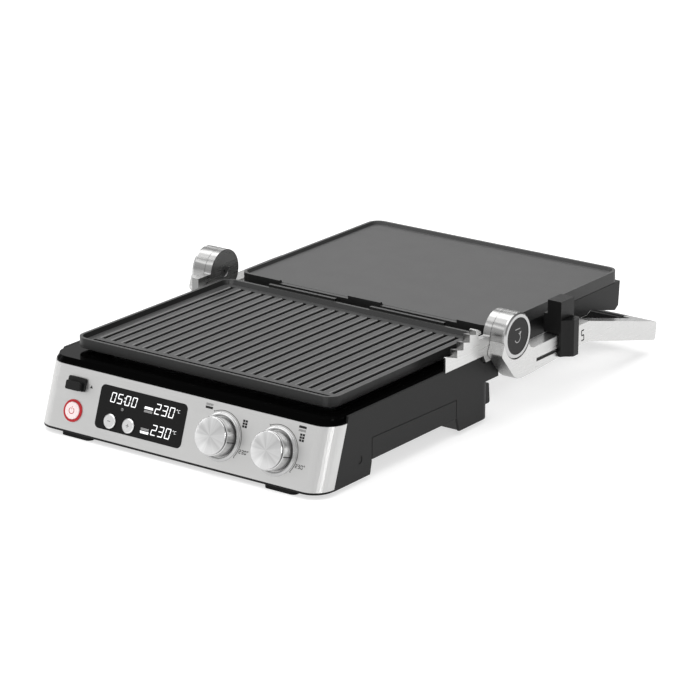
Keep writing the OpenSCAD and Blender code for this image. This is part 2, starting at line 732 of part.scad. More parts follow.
module release_spring() color("silver") place() translate([arm_out - cap_depth + 0.1, hinge_y, hinge_z])
    rotate([0, 90, 0]) spring(12.5, 1.1);

module lid_pivot_pins() color("#a8a8a8") place() both_sides() bar_x(154, arm_in + 7.6, pivot_y, pivot_z, 4);

// Finger grip of the selector, seen from above: a fin with a scooped near face
module selector_plan() {
    softened(1.5) difference() {
        polygon([[arm_out + gap, selector_y], [arm_out + selector_plate, selector_y],
            [arm_out + selector_tip, selector_y + 9.5], [arm_out + selector_tip, selector_y + selector_d - 5],
            [arm_out + selector_tip - 3, selector_y + selector_d - 1],
            [arm_out + gap, selector_y + selector_d - 1]]);
        translate([arm_out + 16, selector_y - 6]) circle(r = 14.2, $fn = 64);
    }
}

selector_pin_y = 376;
selector_pin_z = 80.5;

module height_selector() color("#161616") place() difference() {
    union() {
        y1 = selector_y + selector_d;
        out_x = arm_out + selector_plate;
        block([arm_in, selector_y, arm_top + 1.6], [out_x, y1, 88]);
        block([arm_in + 4, selector_y, 87.9], [out_x, y1, selector_top]);
        block([arm_out + gap, selector_y, 46], [out_x, y1, arm_top + 1.7]);
        // tongue in the arm's slot
        block([arm_out - 8.4, selector_y + 1, slot_z - slot_h / 2 + 0.35],
            [arm_out + gap + 0.1, y1 - 1, slot_z + slot_h / 2 - 0.35]);
        translate([0, 0, 46]) linear_extrude(37) selector_plan();
    }
    bar_x(arm_in - 1, arm_in + 7.6, selector_pin_y, selector_pin_z, 3.01);
}

module selector_pin() color("#b4b4b4") place()
    bar_x(bracket_in + 4.5, arm_in + 7.4, selector_pin_y, selector_pin_z, 3);

// ---- lid -----------------------------------------------------------------------------------

lid_half = 151;                              // half width over the lid's side skirts
tub_half = 145;
lid_far = 538;                               // far wall of the lid's tub
lid_near = 301;
seat_z = lid_rim_top - lid_rim_h - 0.3;          // edge that the upper plate rests on

// Side view of the lid's underside: deep in the middle, shallow over the finger gap
module tub_outline() polygon([
    [lid_near, seat_z], [lid_near, 59], [325, 48], [486, 48], [508, 57.5], [lid_far, 59],
    [lid_far + 1.5, seat_z]]);

// Wedge-shaped side skirt with a clipped corner
module skirt_outline() softened(1.2) polygon([
    [400, seat_z + 4], [540, seat_z + 4], [537.5, 46.5], [531, 42.5], [400, 76]]);

module lid_housing() color("#38383a") place() difference() {
    union() {
        side_shape(-tub_half, tub_half) tub_outline();
        both_sides() side_shape(tub_half - 0.1, lid_half) intersection() {
            skirt_outline();
            translate([300, 0]) square([260, seat_z - 1.4]);
        }
        both_sides() bar_x(tub_half - 0.1, arm_in - 0.8, pivot_y, pivot_z, 8.5);
    }
    // hollow of the tub
    side_shape(-tub_half + wall, tub_half - wall) polygon([
        [lid_near + wall, seat_z + 1], [lid_near + wall, 61], [327, 50.5], [484, 50.5], [506, 60],
        [lid_far - wall, 61.5], [lid_far - wall, seat_z + 1]]);
    both_sides() bar_x(120, arm_in, pivot_y, pivot_z, 4 + running);
    for (x = [-120, 120], y = [340, 470]) translate([x, y, 40]) cylinder(h = 12, r = 2.1, $fn = 32);
}

cover_t = 0.6;

// Brushed outer skin of the lid, which turns up into a lip at the far edge
module lid_cover() color("#c9c9c7") place() difference() {
    side_shape(-tub_half, tub_half) polygon([
        [lid_near - 0.3, 58.7], [325, 47.8], [486, 47.8], [508, 57.3], [lid_far + 0.2, 58.8],
        [lid_far + 1.8, seat_z + 1], [lid_far + 2.6, seat_z + 1], [lid_far + 1, 58.1], [508.3, 56.6],
        [486.2, 47.8 - cover_t], [324.8, 47.8 - cover_t], [lid_near - 0.3, 58]]);
    for (x = [-120, 120], y = [340, 470]) translate([x, y, 40]) cylinder(h = 12, r = 2.1, $fn = 32);
}

module lid_screws() color("silver") place() for (x = [-120, 120], y = [340, 470]) translate([x, y, 46.4]) {
    cylinder(h = 0.7, r = 3.4, $fn = 32);
    cylinder(h = 5, r = 2, $fn = 32);
}

// ---- one line for each sub-part ------------------------------------------------------------

base_housing();
base_pan();
front_carrier();
front_panel();
top_surround();
display_window();
display_board();
control_board();
power_board();
power_light_ring();
lower_reflector();
lower_heater();
lower_thermostat();
left_encoder();
right_encoder();
left_knob_bezel();
right_knob_bezel();
lower_plate();
front_feet();
rear_feet();
rear_spacers();
left_bracket();
right_bracket();
left_hinge_pin();
right_hinge_pin();
bracket_screws();
pan_screws();
cord_inlet();
left_knob();
left_knob_shaft();
right_knob();
right_knob_shaft();
power_button();
minus_button();
plus_button();
button_springs();
plate_release();
plate_latch();
latch_spring();
drip_tray();
left_arm();
right_arm();
handle_grip();
handle_core();
left_hinge_ring();
right_hinge_ring();
left_hinge_cap();
hinge_release();
release_spring();
lid_pivot_pins();
height_selector();
selector_pin();
lid_housing();
lid_cover();
upper_plate();
upper_heater();
upper_reflector();
upper_thermostat();
lid_screws();
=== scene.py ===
"""Looks of the panini press: finishes, edge bevels, printed marks and display digits."""

import math

import bmesh
import bpy
from mathutils import Matrix, Vector


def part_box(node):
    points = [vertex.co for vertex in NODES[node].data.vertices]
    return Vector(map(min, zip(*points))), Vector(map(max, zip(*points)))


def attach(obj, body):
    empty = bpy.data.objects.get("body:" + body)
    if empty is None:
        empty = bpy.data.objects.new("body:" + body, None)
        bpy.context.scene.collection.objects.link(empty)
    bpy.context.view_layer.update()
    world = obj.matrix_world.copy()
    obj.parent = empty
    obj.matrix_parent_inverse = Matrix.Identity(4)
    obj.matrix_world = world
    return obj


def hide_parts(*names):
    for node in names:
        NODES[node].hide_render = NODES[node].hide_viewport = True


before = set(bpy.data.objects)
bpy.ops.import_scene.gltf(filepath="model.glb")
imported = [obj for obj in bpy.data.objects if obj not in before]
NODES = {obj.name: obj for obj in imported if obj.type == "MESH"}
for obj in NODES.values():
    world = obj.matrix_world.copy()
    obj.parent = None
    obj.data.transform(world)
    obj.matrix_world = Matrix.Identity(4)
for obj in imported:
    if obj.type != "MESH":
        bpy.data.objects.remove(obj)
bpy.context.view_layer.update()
MM = 0.001

# The CAD part is drawn in a frame of its own, in mm: x from the middle of the base, y from the bottom
# front edge of the panel, z from the worktop. It is then moved, and the housing shows by how much.
HOUSING_LO, HOUSING_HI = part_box("base_housing")
ORIGIN_X = -(HOUSING_LO[0] + HOUSING_HI[0]) / 2
HOUSING_BACK = 289     # y of the housing's rear end
ORIGIN_Y = HOUSING_BACK * MM - HOUSING_HI[1]
LEAN = math.radians(19)
PANEL_FOOT = 6.5       # height of the front panel's lower edge
HINGE = (290, 86)      # hinge axis: y and z
ARM_OUT = 190          # outer face of the frame's arms
BARREL_R = 22.9


def at(x, y, z):
    """A point of the drawing frame, in mm, as a place in the part's frame."""
    return Vector((x * MM - ORIGIN_X, y * MM - ORIGIN_Y, z * MM))


def panel_matrix(x=0.0, s=0.0):
    """From panel coordinates (across, up the slope, outward; mm) to the part's frame."""
    turn = Matrix.Rotation(math.pi / 2 - LEAN, 4, "X")
    place = Matrix.Translation(at(x, s * math.sin(LEAN), PANEL_FOOT + s * math.cos(LEAN)))
    return place @ turn @ Matrix.Scale(MM, 4)


# ---- materials ---------------------------------------------------------------------------------


class Shader:
    """A Principled material with a few procedural layers."""

    def __init__(self, name, colour, rough, metal=0.0, spec=0.5):
        self.name = name
        self.mat = bpy.data.materials.new(name)
        self.mat.use_nodes = True
        self.tree = self.mat.node_tree
        self.bsdf = self.tree.nodes["Principled BSDF"]
        self.set("Base Color", (*colour, 1))
        self.set("Roughness", rough)
        self.set("Metallic", metal)
        self.set("Specular IOR Level", spec)
        self.mat.diffuse_color = (*colour, 1)

    def set(self, socket, value):
        self.bsdf.inputs[socket].default_value = value

    def node(self, kind, **values):
        """A new node, with values for its sockets; an underscore stands for a space."""
        node = self.tree.nodes.new("ShaderNode" + kind)
        for socket, value in values.items():
            node.inputs[socket.replace("_", " ")].default_value = value
        return node

    def link(self, source, target):
        self.tree.links.new(source, target)

    def noise(self, scale, stretch=(1, 1, 1), detail=3.0):
        coords = self.node("TexCoord")
        mapping = self.node("Mapping", Scale=stretch)
        tex = self.node("TexNoise", Scale=scale, Detail=detail)
        self.link(coords.outputs["Object"], mapping.inputs["Vector"])
        self.link(mapping.outputs["Vector"], tex.inputs["Vector"])
        return tex.outputs["Fac"]

    def rough_between(self, fac, low, high):
        """Varies the roughness with a noise, whose values lie mostly from 0.3 to 0.7."""
        rng = self.node("MapRange", From_Min=0.3, From_Max=0.7, To_Min=low, To_Max=high)
        self.link(fac, rng.inputs["Value"])
        self.link(rng.outputs["Result"], self.bsdf.inputs["Roughness"])

    def ramp(self, stops):
        """A colour ramp from (position, colour) stops."""
        ramp = self.node("ValToRGB")
        elements = ramp.color_ramp.elements
        while len(elements) < len(stops):
            elements.new(0.5)
        for element, (position, colour) in zip(elements, stops):
            element.position = position
            element.color = (*colour, 1)
        return ramp

    def tint(self, fac, dark, light, lo=0.3, hi=0.7):
        ramp = self.ramp([(lo, dark), (hi, light)])
        self.link(fac, ramp.inputs["Fac"])
        self.link(ramp.outputs["Color"], self.bsdf.inputs["Base Color"])

    def painted_light_by_facing(self, axis, stops):
        """Paints light and shade into the colour: scales the base colour by the way a face looks.

        The stops are (part of the normal along the piece's own axis, share of the colour).
        """
        coords = self.node("TexCoord")
        split = self.node("SeparateXYZ")
        along = self.node("MapRange", From_Min=-1)
        ramp = self.ramp([((part + 1) / 2, grey(share)) for part, share in stops])
        product = self.node("VectorMath")
        product.operation = "MULTIPLY"
        colour = self.bsdf.inputs["Base Color"]
        self.link(coords.outputs["Normal"], split.inputs["Vector"])
        self.link(split.outputs[axis], along.inputs["Value"])
        self.link(along.outputs["Result"], ramp.inputs["Fac"])
        if colour.links:
            self.link(colour.links[0].from_socket, product.inputs[0])
        else:
            product.inputs[0].default_value = colour.default_value[:3]
        self.link(ramp.outputs["Color"], product.inputs[1])
        self.link(product.outputs["Vector"], colour)

    def bump(self, fac, strength, distance):
        node = self.node("Bump", Strength=strength, Distance=distance)
        self.link(fac, node.inputs["Height"])
        self.link(node.outputs["Normal"], self.bsdf.inputs["Normal"])

    def glow(self, colour, strength):
        self.set("Emission Color", (*colour, 1))
        self.set("Emission Strength", strength)


def grey(v):
    return (v, v, v)


def brushed(name, v, rough, stretch):
    """Brushed steel, with its grain along the axis that stretch makes short."""
    sh = Shader(name, (v, v * 0.998, v * 0.99), rough, metal=1.0)
    grain = sh.noise(900, stretch, detail=2)
    sh.rough_between(grain, rough - 0.05, rough + 0.07)
    sh.bump(grain, 0.06, 0.0002)
    return sh


def spun(name, v, rough, fan):
    """Turned metal: fine rings, and a painted fan of highlights: paler and darker wedges about the piece's
    own Z axis.
    """
    sh = Shader(name, (v, v, v * 0.985), rough, metal=1.0)
    sh.set("Anisotropic", 0.7)
    tangent = sh.node("Tangent")
    tangent.direction_type = "RADIAL"
    tangent.axis = "Z"
    sh.link(tangent.outputs["Tangent"], sh.bsdf.inputs["Tangent"])
    coords = sh.node("TexCoord")
    angle = sh.node("TexGradient")
    angle.gradient_type = "RADIAL"
    sh.link(coords.outputs["Object"], angle.inputs["Vector"])
    # Painted fan of highlights: a noise on the angle about the axis makes paler and darker wedges
    painted_fan_streaks = sh.node("TexNoise", Scale=9.0, Detail=4.0)
    painted_fan_streaks.noise_dimensions = "1D"
    sh.link(angle.outputs["Fac"], painted_fan_streaks.inputs["W"])
    sh.tint(painted_fan_streaks.outputs["Fac"], grey(v * (1 - fan)), grey(v * (1 + fan)), 0.35, 0.65)
    return sh


def moulded(name, v, rough, spec):
    """Moulded plastic or rubber with a fine texture."""
    sh = Shader(name, grey(v), rough, spec=spec)
    sh.bump(sh.noise(1400, detail=2), 0.25, 0.00015)
    return sh


def coated(name, v, rough, spec, tones, roughness, patch, depth):
    """Speckled non-stick coating between two tones, a little rougher in patches."""
    sh = Shader(name, grey(v), rough, spec=spec)
    speck = sh.noise(1500, detail=3)
    sh.tint(speck, grey(tones[0]), grey(tones[1]))
    sh.rough_between(sh.noise(patch, detail=2), *roughness)
    sh.bump(speck, depth, 0.0002)
    return sh


def lit(name, v, rough, spec, colour, strength):
    """A part that gives a little light of its own."""
    sh = Shader(name, v, rough, spec=spec)
    sh.glow(colour, strength)
    return sh


satin = brushed("satin", 0.6, 0.3, (1, 0.06, 1))
# Painted shade and reflection: the arms darker on their undersides, and a little darker on their tops
satin.painted_light_by_facing("Z", [(-0.8, 0.5), (-0.3, 0.9), (0.3, 1), (0.9, 0.6)])
rack = brushed("rack", 0.6, 0.3, (1, 0.06, 1))
# Painted shade: the brackets' faces that look straight to the front are darker
rack.painted_light_by_facing("Y", [(-0.95, 0.42), (-0.5, 1)])
# Painted reflections: light and dark bands along the barrels, set by which way each face looks
barrel = brushed("barrel", 0.62, 0.24, (0.06, 1, 1))
barrel.painted_light_by_facing("Z", [(-0.6, 0.35), (-0.1, 0.6), (0.25, 0.42), (0.45, 0.5), (0.52, 1.15),
                    (0.62, 0.5), (0.8, 0.45), (0.9, 1.1), (0.97, 0.6)])
# Painted shade and highlights on the grooved plate: dark on its sides and in its grooves, and pale on their
# rounded shoulders, by which way each face looks.
cast = coated("cast_coat_and_painted_shade", 0.05, 0.42, 0.42, (0.033, 0.056), (0.4, 0.43), 60, 0.22)
cast.painted_light_by_facing("Z", [(0.3, 0.12), (0.6, 1)])
cast.painted_light_by_facing("X", [(-0.6, 0.2), (-0.45, 3), (-0.25, 3), (-0.1, 0.8),
                  (0.1, 0.8), (0.25, 3), (0.45, 3), (0.6, 0.2)])
flat = coated("flat_coat_and_painted_shade", 0.06, 0.46, 0.44, (0.04, 0.064), (0.44, 0.46), 40, 0.18)
# Painted shade: the upper plate's rim sides and other steep faces darker than its flat face
flat.painted_light_by_facing("Z", [(0.45, 0.2), (0.95, 1)])

SHADERS = [
    satin, rack, barrel, cast, flat,
    brushed("steel_panel", 0.575, 0.34, (0.03, 1, 1)),
    brushed("lid_steel", 0.56, 0.33, (0.03, 1, 1)),
    spun("spun", 0.58, 0.28, 0.13),
    Shader("chrome", grey(0.46), 0.16, metal=1.0),
    Shader("bezel", grey(0.42), 0.22, metal=1.0),
    Shader("knob_side", grey(0.6), 0.28, metal=1.0),
    # Painted shade: the knob's groove is near black, standing for the shade in its recess
    Shader("knob_groove", grey(0.03), 0.4),
    Shader("button", grey(0.68), 0.3, metal=1.0),
    Shader("lit_button", (0.78, 0.66, 0.66), 0.4, spec=0.3),
    Shader("gloss_deck", grey(0.0008), 0.12, spec=0.015),
    moulded("side_plastic", 0.0095, 0.5, 0.2),
    moulded("black_plastic", 0.005, 0.4, 0.2),
    moulded("grip_plastic", 0.005, 0.42, 0.22),
    moulded("rubber", 0.006, 0.75, 0.15),
    Shader("lens", grey(0.008), 0.3, spec=0.1),
    lit("mark_light", grey(0.75), 0.5, 0.5, (0.95, 0.98, 1.0), 0.45),
    lit("red_light", (0.34, 0.008, 0.014), 0.35, 0.3, (0.8, 0.02, 0.03), 0.08),
    lit("floor", grey(0.5), 0.9, 0.0, (1, 1, 1), 0.62),
    Shader("mark_dim", grey(0.35), 0.5),
    Shader("ink", grey(0.008), 0.6, spec=0.2),
    Shader("ink_grey", grey(0.1), 0.6, spec=0.2),
    Shader("board", (0.02, 0.14, 0.06), 0.5),
    Shader("ceramic", (0.7, 0.67, 0.6), 0.5),
    Shader("bare_alu", grey(0.55), 0.35, metal=1.0),
    Shader("plain_steel", grey(0.45), 0.3, metal=1.0),
    Shader("coated_steel", grey(0.02), 0.5),
]
# By the names given here: Blender adds a number to one that the frame's own materials have taken.
M = {shader.name: shader.mat for shader in SHADERS}

# The CAD pieces that take each finish. Both knobs and their bezels are built again below.
FINISH = {
    "steel_panel": ["front_panel"],
    "lid_steel": ["lid_cover"],
    "satin": ["left_arm", "right_arm"],
    "rack": ["left_bracket", "right_bracket"],
    "chrome": ["left_hinge_ring", "right_hinge_ring"],
    "button": ["minus_button", "plus_button"],
    "lit_button": ["power_button"],
    "gloss_deck": ["top_surround"],
    "side_plastic": ["base_housing"],
    "black_plastic": [
        "front_carrier", "plate_release", "height_selector", "left_hinge_cap", "hinge_release", "cord_inlet",
        "selector_pin", "drip_tray", "rear_spacers", "left_encoder", "right_encoder", "lid_housing",
    ],
    "grip_plastic": ["handle_grip"],
    "rubber": ["front_feet", "rear_feet"],
    "lens": ["display_window"],
    "red_light": ["power_light_ring"],
    "cast_coat_and_painted_shade": ["lower_plate"],
    "flat_coat_and_painted_shade": ["upper_plate"],
    "coated_steel": ["base_pan"],
    "board": ["display_board", "control_board", "power_board"],
    "ceramic": ["lower_thermostat", "upper_thermostat"],
    "bare_alu": ["lower_reflector", "upper_reflector", "handle_core"],
    "plain_steel": [
        "lower_heater", "upper_heater", "left_hinge_pin", "right_hinge_pin", "bracket_screws", "pan_screws",
        "left_knob_shaft", "right_knob_shaft", "button_springs", "plate_latch", "latch_spring",
        "release_spring", "lid_pivot_pins", "lid_screws",
    ],
}
for finish, names in FINISH.items():
    for name in names:
        NODES[name].data.materials.clear()
        NODES[name].data.materials.append(M[finish])

# The arms and brackets take a second material on the round sides of the hinge barrels, brushed steel with
# painted
# reflection bands: on each face whose corners all lie about a barrel's radius from the hinge axis.
axis = at(0, *HINGE)
for name in FINISH["satin"] + FINISH["rack"]:
    mesh = NODES[name].data
    mesh.materials.append(M["barrel"])
    to_part = NODES[name].matrix_world
    for face in mesh.polygons:
        corners = [to_part @ mesh.vertices[i].co for i in face.vertices]
        reach = [math.hypot(c.y - axis.y, c.z - axis.z) / MM for c in corners]
        if min(reach) > BARREL_R - 0.15 and max(reach) < BARREL_R + 0.1:
            face.material_index = 1

# Edge bevels in mm. Small ones catch the light where the real edges are rounded.
BEVELS = {
    "front_panel": 0.25, "top_surround": 0.6, "base_housing": 1.0, "lower_plate": 0.9, "upper_plate": 0.9,
    "left_arm": 0.9, "right_arm": 0.9, "left_bracket": 0.5, "right_bracket": 0.4, "height_selector": 0.9,
    "handle_grip": 1.6, "plate_release": 0.6, "lid_housing": 1.0, "lid_cover": 0.2, "power_button": 0.3,
    "minus_button": 0.3, "plus_button": 0.3, "left_hinge_cap": 0.5, "hinge_release": 0.5,
    "front_feet": 0.5, "rear_feet": 0.5, "rear_spacers": 0.6, "drip_tray": 0.5, "display_window": 0.2,
    "front_carrier": 0.3, "left_hinge_ring": 0.3, "right_hinge_ring": 0.3, "cord_inlet": 0.5,
}
# Pieces with some very short edges, where a clamped bevel would vanish
FREE_BEVELS = ("left_arm", "right_arm", "lower_plate", "upper_plate", "right_bracket", "height_selector")


def bevel(obj, width_mm):
    mod = obj.modifiers.new("bevel", "BEVEL")
    mod.width = width_mm * MM
    mod.segments = 3
    mod.limit_method = "ANGLE"
    mod.angle_limit = math.radians(30)
    mod.use_clamp_overlap = obj.name not in FREE_BEVELS
    mod.harden_normals = True
    norm = obj.modifiers.new("normals", "WEIGHTED_NORMAL")
    norm.keep_sharp = True


for name, width in BEVELS.items():
    bevel(NODES[name], width)


# ---- small pieces ------------------------------------------------------------------------------


def mesh_piece(name, bm, mat, body, matrix=None, smooth=False):
    """A new piece from a bmesh drawn in mm, riding on a body."""
    if matrix is not None:
        bmesh.ops.transform(bm, matrix=matrix, verts=bm.verts)
    bmesh.ops.recalc_face_normals(bm, faces=bm.faces)
    mesh = bpy.data.meshes.new(name)
    bm.to_mesh(mesh)
    bm.free()
    if smooth:
        for p in mesh.polygons:
            p.use_smooth = True
    obj = bpy.data.objects.new(name, mesh)
    bpy.context.scene.collection.objects.link(obj)
    mesh.materials.append(M[mat])
    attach(obj, body)
    return obj


def raised(bm, outline, low, high):
    """Adds an outline, a list of (x, y), as a plate between two heights."""
    base = [bm.verts.new((x, y, low)) for x, y in outline]
    top = [bm.verts.new((x, y, high)) for x, y in outline]
    bm.faces.new(top)
    bm.faces.new(list(reversed(base)))
    n = len(outline)
    for i in range(n):
        j = (i + 1) % n
        bm.faces.new((base[i], base[j], top[j], top[i]))


def rect(x0, y0, x1, y1):
    return [(x0, y0), (x1, y0), (x1, y1), (x0, y1)]


def ring_band(r0, r1, a0, a1, steps, cx=0.0, cy=0.0):
    """Outline of part of a ring: between radii r0 and r1, from angle a0 to a1 in degrees."""
    angles = [math.radians(a0 + (a1 - a0) * i / steps) for i in range(steps + 1)]
    outer = [(cx + r1 * math.cos(a), cy + r1 * math.sin(a)) for a in angles]
    inner = [(cx + r0 * math.cos(a), cy + r0 * math.sin(a)) for a in reversed(angles)]
    return outer + inner


# Seven-segment characters: which of the segments a to g are lit
SEGMENTS = {"0": "abcdef", "2": "abged", "3": "abgcd", "5": "afgcd", "C": "afed"}


def digit_outlines(char, x, y, w, h, t, slant=0.14):
    """Outlines of one character with its lower left corner at x, y, its bars t thick."""
    gap = t * 0.16
    half = h / 2
    bars = {
        "a": rect(gap, h - t, w - gap, h), "d": rect(gap, 0, w - gap, t),
        "g": rect(gap, half - t / 2, w - gap, half + t / 2),
        "f": rect(0, half + gap, t, h - gap), "b": rect(w - t, half + gap, w, h - gap),
        "e": rect(0, gap, t, half - gap), "c": rect(w - t, gap, w, half - gap),
    }
    cut = t * 0.45
    shapes = []
    for seg in SEGMENTS[char]:
        (x0, y0), _, (x1, y1), _ = bars[seg]
        if seg in "adg":
            pts = [(x0 + cut, y0), (x1 - cut, y0), (x1, (y0 + y1) / 2), (x1 - cut, y1), (x0 + cut, y1),
                   (x0, (y0 + y1) / 2)]
        else:
            pts = [((x0 + x1) / 2, y0), (x1, y0 + cut), (x1, y1 - cut), ((x0 + x1) / 2, y1), (x0, y1 - cut),
                   (x0, y0 + cut)]
        shapes.append([(x + px + slant * py, y + py) for px, py in pts])
    return shapes


GLASS = 0.3            # the display window's face above the panel
MARK_UP = 0.06         # printed marks stand this far out
MARK_DOWN = 0.02       # and reach this far in


def panel_marks(name, outlines, mat, level):
    """One piece of marks on the front panel, with each outline in panel coordinates."""
    bm = bmesh.new()
    for outline in outlines:
        raised(bm, outline, level - MARK_DOWN, level + MARK_UP)
    mesh_piece(name, bm, mat, "base", panel_matrix())


# Time and the two temperatures
digits = []
for char, x in (("0", -85.1), ("5", -77.1), ("0", -67.9), ("0", -59.9)):
    digits += digit_outlines(char, x, 36.4, 5.6, 9.6, 0.85)
digits += [rect(-69.0, 39.2, -67.9, 40.3), rect(-68.6, 42.6, -67.5, 43.7)]
for base in (35.4, 15.4):
    for char, x in (("2", -31.6), ("3", -23.4), ("0", -15.2)):
        digits += digit_outlines(char, x, base, 5.9, 10.2, 0.9)
    digits.append(ring_band(0.4, 0.7, 0, 350, 20, -5.6, base + 8.7))
    digits += digit_outlines("C", -4.4, base + 6.2, 1.9, 3.0, 0.32)
panel_marks("display_digits", digits, "mark_light", GLASS)


def plate_bar(x, s, w, h, upper):
    """The solid half of an icon of two stacked plates: the upper or the lower plate."""
    mid = s + h / 2
    if upper:
        near = mid + h * 0.08
        return [(x, near), (x + w, near), (x + w * 0.95, s + h), (x + w * 0.05, s + h)]
    near = mid - h * 0.08
    return [(x + w * 0.05, s), (x + w * 0.95, s), (x + w, near), (x, near)]


def stripes(x, s, w, h):
    """The other plate of an icon, as three stripes."""
    step = h / 3
    return [rect(x, s + i * step, x + w, s + (i + 0.6) * step) for i in range(3)]


bright = [plate_bar(-43.8, 35.0, 10.4, 5.4, True), plate_bar(-43.8, 15.0, 10.4, 5.4, False)]
dim = stripes(-43.4, 35.0, 9.6, 2.3) + stripes(-43.4, 18.1, 9.6, 2.3)
panel_marks("display_icons", bright, "mark_light", GLASS)
panel_marks("display_icons_dim", dim, "mark_dim", GLASS)

# A small clock under the time
clock = [ring_band(1.0, 1.4, 0, 355, 24, -69.0, 32.0), rect(-69.12, 32.0, -68.88, 33.0),
         rect(-69.1, 31.9, -68.2, 32.15)]
panel_marks("display_clock", clock, "mark_dim", GLASS)

# Printed marks round the knobs: an arc with a tick at each end, a block icon and a temperature
KNOB_X = (47.5, 112.0)
KNOB_S = 30.0
ARC_IN = 24.2          # radii of the arc's two edges, and of the ticks' outer ends
ARC_OUT = 24.75
TICK_OUT = 25.8
ARC_ENDS = (-38, 118)  # in degrees
BLOCK_ICONS = ((69.9, 43.5), (134.8, 43.9))
TEMPERATURE_X = (71.5, 135.9)
TEMPERATURE_S = 19.4
ink = []
for kx, (block_x, block_s), text_x in zip(KNOB_X, BLOCK_ICONS, TEMPERATURE_X):
    ink.append(ring_band(ARC_IN, ARC_OUT, *ARC_ENDS, 60, kx, KNOB_S))
    tick = rect(ARC_IN, -0.25, TICK_OUT, 0.25)
    for a in ARC_ENDS:
        ca, sa = math.cos(math.radians(a)), math.sin(math.radians(a))
        ink.append([(kx + r * ca + d * sa, KNOB_S + r * sa - d * ca) for r, d in tick])
    for row in range(3):
        for col in range(2):
            gx = block_x + col * 2.9
            gs = block_s + row * 2.6
            ink.append(rect(gx, gs, gx + 2.4, gs + 2.1))
    for n, char in enumerate("230"):
        ink += digit_outlines(char, text_x + n * 3.1, TEMPERATURE_S, 2.4, 3.8, 0.62, slant=0.0)
    ink.append(ring_band(0.35, 0.75, 0, 350, 16, text_x + 10.0, TEMPERATURE_S + 3.4))
ink += [plate_bar(25.0, 52.8, 8.8, 5.2, False), plate_bar(131.8, 53.0, 8.8, 5.2, True)]
panel_marks("panel_print", ink, "ink", 0.0)
pale = stripes(25.4, 55.9, 8.0, 2.1) + stripes(132.2, 53.0, 8.0, 2.1)
panel_marks("panel_print_grey", pale, "ink_grey", 0.0)
panel_marks("release_mark", [[(-111.7, 44.2), (-108.3, 44.2), (-110.0, 47.2)]], "ink", 0.0)

# Power symbol on the button
POWER_TOP = 2.4
bm = bmesh.new()
for outline in (ring_band(2.6, 3.3, 125, 415, 40), rect(-0.35, 1.2, 0.35, 4.1)):
    raised(bm, outline, POWER_TOP - MARK_DOWN, POWER_TOP + MARK_UP)
mesh_piece("power_symbol", bm, "red_light", "power", panel_matrix(-126.5, 19.5))

# Minus and plus signs; the upright bar of the plus lies a hair higher than the level one
BUTTON_TOP = 2.3
for piece, body, x in (("minus_sign", "minus", -80.5), ("plus_sign", "plus", -58.0)):
    bm = bmesh.new()
    raised(bm, rect(-1.8, -0.3, 1.8, 0.3), BUTTON_TOP - 0.02, BUTTON_TOP + 0.05)
    if body == "plus":
        raised(bm, rect(-0.3, -1.8, 0.3, 1.8), BUTTON_TOP - 0.01, BUTTON_TOP + 0.06)
    mesh_piece(piece, bm, "ink_grey", body, panel_matrix(x, 18.5))

# ---- knobs -------------------------------------------------------------------------------------


def turned(profile):
    """A surface of revolution about Z through (radius, height) points."""
    steps = 96
    bm = bmesh.new()
    rings = []
    for r, z in profile:
        if r < 1e-6:
            rings.append([bm.verts.new((0, 0, z))])
        else:
            rings.append([bm.verts.new((r * math.cos(2 * math.pi * i / steps),
                                        r * math.sin(2 * math.pi * i / steps), z)) for i in range(steps)])
    for a, b in zip(rings, rings[1:]):
        for i in range(steps):
            j = (i + 1) % steps
            quad = [a[i % len(a)], a[j % len(a)], b[j % len(b)], b[i % len(b)]]
            quad = [v for k, v in enumerate(quad) if v not in quad[:k]]
            if len(quad) > 2:
                bm.faces.new(quad)
    return bm


# Radius and height of the points along each profile, in mm
FACE = [(0, 16.0), (16.8, 16.0), (17.15, 15.8)]
LIP = [(17.15, 15.8), (17.55, 15.4), (17.55, 14.6), (17.2, 14.2)]
GROOVE = [(17.2, 14.2), (16.7, 14.1), (16.7, 13.3), (17.4, 13.2)]
SIDE = [(17.4, 13.2), (18.0, 12.9), (18.2, 12.4), (18.2, 1.5), (17.9, 1.2), (8.0, 1.2)]
BEZEL = [(18.9, 0.15), (19.5, 0.2), (19.7, 1.4), (20.1, 1.8), (20.8, 1.8), (21.2, 1.4), (22.4, 1.1),
         (22.9, 0.7), (23.0, 0.0)]


def turned_piece(name, profile, mat, body, matrix, stands_for=None):
    """A turned piece in its place, riding on a body, which may replace a CAD piece."""
    obj = mesh_piece(name, turned(profile), mat, "base", smooth=True)
    obj.matrix_world = matrix
    norm = obj.modifiers.new("edges", "EDGE_SPLIT")
    norm.split_angle = math.radians(35)
    if stands_for:
        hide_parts(stands_for)
    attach(obj, body)


for side, kx in zip(("left", "right"), KNOB_X):
    spot = panel_matrix(kx, KNOB_S)
    dial = side + "_dial"
    turned_piece(side + "_knob_face", FACE, "spun", dial, spot)
    turned_piece(side + "_knob_lip", LIP, "chrome", dial, spot)
    turned_piece(side + "_knob_groove", GROOVE, "knob_groove", dial, spot)
    turned_piece(side + "_knob_side", SIDE, "knob_side", dial, spot, side + "_knob")
    turned_piece(side + "_bezel_ring", BEZEL, "bezel", "base", spot, side + "_knob_bezel")
    # Pointer line on the knob's side
    bm = bmesh.new()
    raised(bm, rect(18.0, -0.45, 18.24, 0.45), 1.6, 12.6)
    mesh_piece(side + "_pointer", bm, "ink", dial, spot @ Matrix.Rotation(math.radians(-8), 4, "Z"))


# ---- hinge and arms ----------------------------------------------------------------------------


